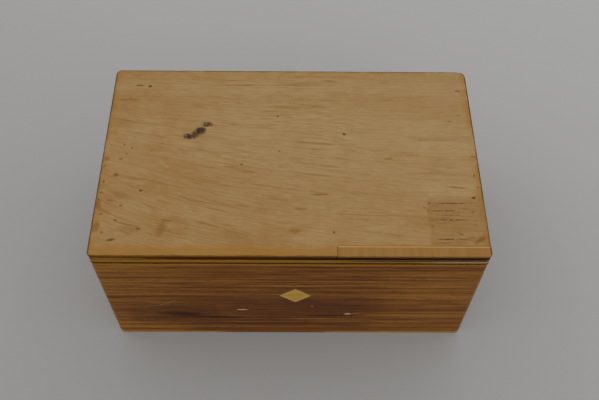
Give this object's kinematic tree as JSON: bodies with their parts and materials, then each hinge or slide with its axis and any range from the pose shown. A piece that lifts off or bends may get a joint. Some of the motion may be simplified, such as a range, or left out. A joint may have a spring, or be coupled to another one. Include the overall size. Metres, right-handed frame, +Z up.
{
  "type": "puzzle box",
  "caption": "Rectangular wooden puzzle box: a sliding front panel hides upright bolts that lock a lid sliding off endways.",
  "frame": {"origin": "centre of the underside, with the lid closed", "axes": "+X to the right along the length, towards which the lid opens; -Y is the front, with the diamond; +Z up"},
  "size_m": [0.15, 0.0914, 0.069],
  "materials": {
    "bare_maple": "bare, hand-worn, matt",
    "cross_maple": "bare with old varnish, satin",
    "inner_pine": "unfinished, planed",
    "brown_veneer": "brown stain under worn varnish, satin",
    "pale_line": "varnished, satin",
    "black_line": "dyed black, worn, satin",
    "diamond_wood": "varnished, satin",
    "beech": "unfinished, rubbed smooth"
  },
  "bodies": {
    "box": {"base_sheet": "bare_maple", "bottom_board": "inner_pine", "front_wall": "inner_pine", "back_wall": "inner_pine", "left_end_wall": "inner_pine", "right_end_wall": "inner_pine", "left_end_veneer": "brown_veneer", "right_end_veneer": "brown_veneer", "left_pale_line": "pale_line", "back_panel_core": "inner_pine", "back_veneer": "brown_veneer", "back_pale_line": "pale_line", "lower_panel_rail": "beech", "upper_panel_rail": "beech", "front_left_lower_peg": "beech", "front_left_upper_peg": "beech", "front_right_lower_peg": "beech", "front_right_upper_peg": "beech", "back_left_lower_peg": "beech", "back_left_upper_peg": "beech", "back_right_lower_peg": "beech", "back_right_upper_peg": "beech"},
    "panel": {"front_panel_core": "inner_pine", "front_veneer": "brown_veneer", "front_pale_line": "pale_line", "diamond_inlay": "diamond_wood"},
    "left_latch": {"left_bolt": "beech"},
    "right_latch": {"right_bolt": "beech"},
    "lid": {"lid_board": "bare_maple", "lid_face": "bare_maple", "lid_edge_patch": "cross_maple", "lid_front_line": "black_line", "lid_back_line": "black_line", "lid_left_line": "black_line", "lid_right_line": "black_line", "front_left_key": "beech", "front_right_key": "beech", "back_runner": "beech", "lid_batten": "beech", "lid_fascia": "brown_veneer", "fascia_pale_line": "pale_line"}
  },
  "joints": [
    {"name": "lid_slide", "type": "slide", "parent": "box", "child": "lid", "axis": [1, 0, 0], "range_m": [0, 0.1]},
    {"name": "panel_slide", "type": "slide", "parent": "box", "child": "panel", "axis": [1, 0, 0], "range_m": [-0.018, 0.018]},
    {"name": "left_bolt_lift", "type": "slide", "parent": "box", "child": "left_latch", "axis": [0, 0, 1], "range_m": [0, 0.0044]},
    {"name": "right_bolt_lift", "type": "slide", "parent": "box", "child": "right_latch", "axis": [0, 0, 1], "range_m": [0, 0.0044]}
  ]
}
